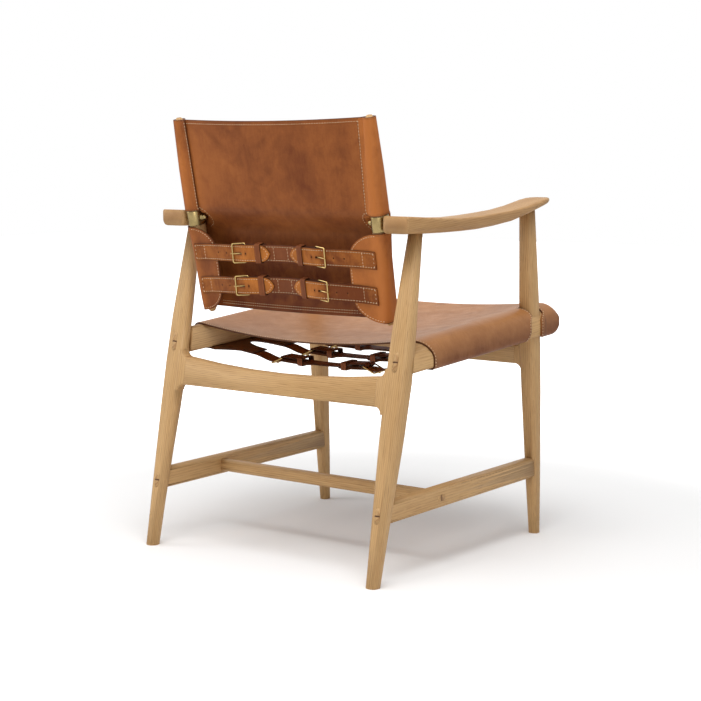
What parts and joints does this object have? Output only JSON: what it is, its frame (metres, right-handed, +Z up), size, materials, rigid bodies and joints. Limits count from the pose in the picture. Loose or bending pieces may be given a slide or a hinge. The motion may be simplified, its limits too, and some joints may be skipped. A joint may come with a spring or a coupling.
{
  "type": "leather sling lounge chair",
  "caption": "Low lounge chair with a raked oak frame, a slung leather seat strapped under its side rails, and a leather back that tilts on brass pivots.",
  "frame": {"origin": "on the floor, midway between the two sides and midway between the front and the back of the chair", "axes": "+Z up; the chair faces -Y; +X is the side of the sitter's left hand"},
  "size_m": [0.576, 0.5794, 0.8017],
  "materials": {
    "oak": "oiled, open straight grain, rounded edges",
    "wedge_wood": "dark, planed flush",
    "brass": "pale, polished",
    "back_leather": "vegetable tanned saddle leather, cognac, waxed, pale stitching",
    "seat_leather": "vegetable tanned saddle leather, cognac, waxed, pale stitching",
    "strap_leather": "vegetable tanned saddle leather, grooved and stitched edges"
  },
  "bodies": {
    "frame": {"cross_stretcher": "oak", "front_rail": "oak", "rear_rail": "oak", "seat_leather": "seat_leather", "side_rail_left": "oak", "side_rail_right": "oak", "side_rail_wedge_left": "wedge_wood", "side_rail_wedge_right": "wedge_wood", "cross_stretcher_wedge_left": "wedge_wood", "cross_stretcher_wedge_right": "wedge_wood", "side_stretcher_left": "oak", "side_stretcher_right": "oak", "side_stretcher_wedge_left": "wedge_wood", "side_stretcher_wedge_right": "wedge_wood", "armrest_left": "oak", "armrest_right": "oak", "rear_leg_left": "oak", "rear_leg_right": "oak", "front_leg_left": "oak", "front_leg_right": "oak", "pivot_bolt_left": "brass", "pivot_bolt_right": "brass", "pivot_nut_left": "brass", "pivot_nut_right": "brass", "rear_seat_billet_left": "strap_leather", "rear_seat_billet_right": "strap_leather", "rear_seat_buckle_left": "brass", "rear_seat_buckle_right": "brass", "rear_seat_centre_strap": "strap_leather", "middle_seat_billet_left": "strap_leather", "middle_seat_billet_right": "strap_leather", "middle_seat_buckle_left": "brass", "middle_seat_buckle_right": "brass", "middle_seat_centre_strap": "strap_leather", "front_seat_billet_left": "strap_leather", "front_seat_billet_right": "strap_leather", "front_seat_buckle_left": "brass", "front_seat_buckle_right": "brass", "front_seat_centre_strap": "strap_leather"},
    "backrest": {"back_leather": "back_leather", "back_post_left": "oak", "back_post_right": "oak", "collar_left": "brass", "collar_right": "brass", "upper_back_billet_left": "strap_leather", "upper_back_billet_right": "strap_leather", "upper_back_buckle_left": "brass", "upper_back_buckle_right": "brass", "upper_back_prong_left": "brass", "upper_back_prong_right": "brass", "upper_back_centre_strap": "strap_leather", "lower_back_billet_left": "strap_leather", "lower_back_billet_right": "strap_leather", "lower_back_buckle_left": "brass", "lower_back_buckle_right": "brass", "lower_back_prong_left": "brass", "lower_back_prong_right": "brass", "lower_back_centre_strap": "strap_leather"}
  },
  "joints": [
    {"name": "backrest_tilt", "type": "hinge", "parent": "frame", "child": "backrest", "pos_m": [0, 0.19792, 0.617], "axis": [1, 0, 0], "range_deg": [-12, 12]}
  ]
}
